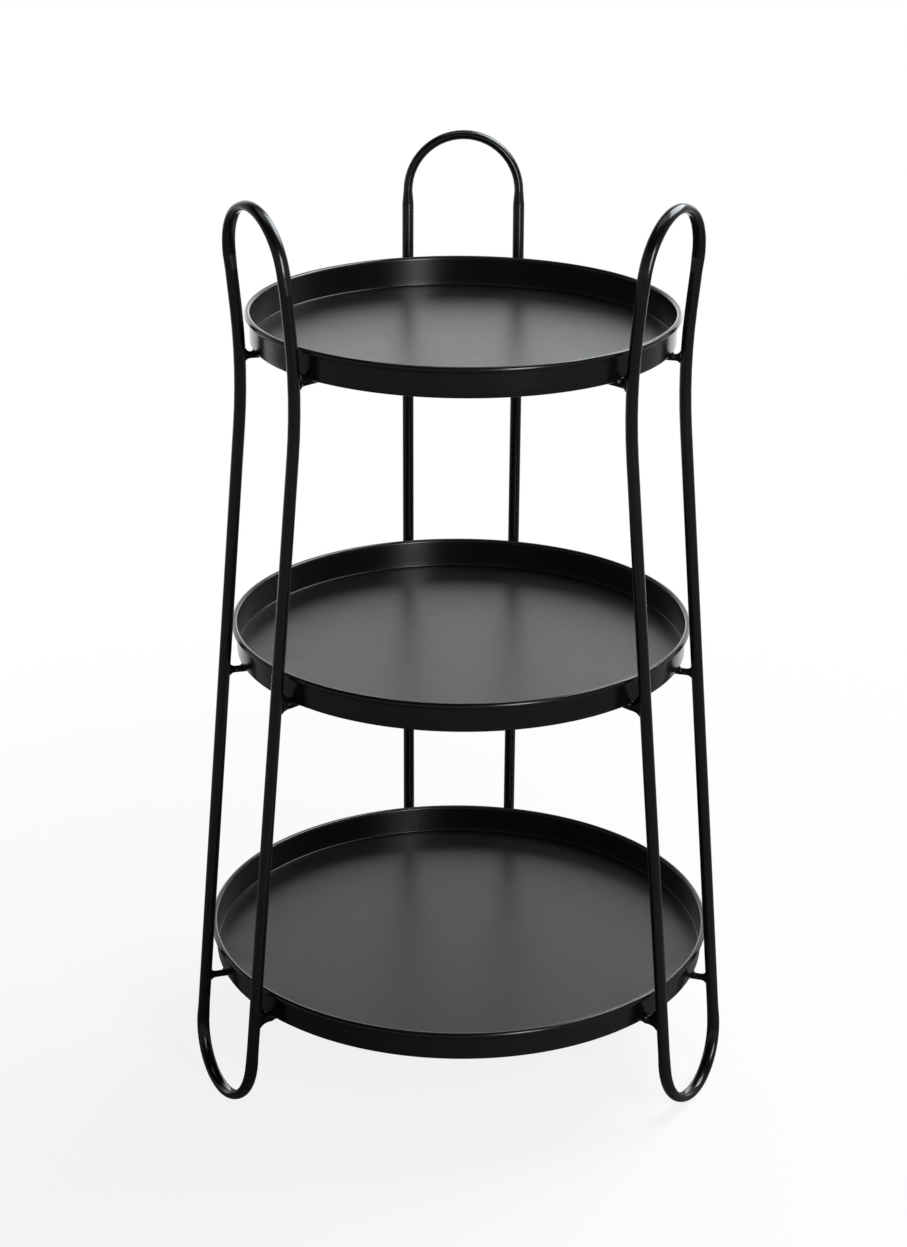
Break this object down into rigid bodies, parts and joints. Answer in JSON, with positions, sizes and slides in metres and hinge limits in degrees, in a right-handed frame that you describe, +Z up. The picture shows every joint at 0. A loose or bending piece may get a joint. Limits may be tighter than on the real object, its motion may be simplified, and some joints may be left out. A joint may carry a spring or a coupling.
{
  "type": "tiered side table",
  "caption": "Tiered side table: round pans with curled rims, wider towards the floor, carried on short rods welded to closed tube loops that serve as legs, feet and handles.",
  "frame": {"origin": "on the trays' common axis, at the level of the floor that the feet stand on", "axes": "+Z up along the trays' axis, +Y towards the single back loop, +X to the right seen from the front"},
  "size_m": [0.4768, 0.4789, 0.811],
  "materials": {
    "powder_coat": "satin black powder coat"
  },
  "bodies": {
    "root": {"back_loop": "powder_coat", "left_loop": "powder_coat", "right_loop": "powder_coat", "top_tray": "powder_coat", "middle_tray": "powder_coat", "bottom_tray": "powder_coat", "top_stub_back_left": "powder_coat", "top_stub_back_right": "powder_coat", "top_stub_left_left": "powder_coat", "top_stub_left_right": "powder_coat", "top_stub_right_left": "powder_coat", "top_stub_right_right": "powder_coat", "middle_stub_back_left": "powder_coat", "middle_stub_back_right": "powder_coat", "middle_stub_left_left": "powder_coat", "middle_stub_left_right": "powder_coat", "middle_stub_right_left": "powder_coat", "middle_stub_right_right": "powder_coat", "bottom_stub_back_left": "powder_coat", "bottom_stub_back_right": "powder_coat", "bottom_stub_left_left": "powder_coat", "bottom_stub_left_right": "powder_coat", "bottom_stub_right_left": "powder_coat", "bottom_stub_right_right": "powder_coat", "top_welds": "powder_coat", "middle_welds": "powder_coat", "bottom_welds": "powder_coat"}
  },
  "joints": []
}
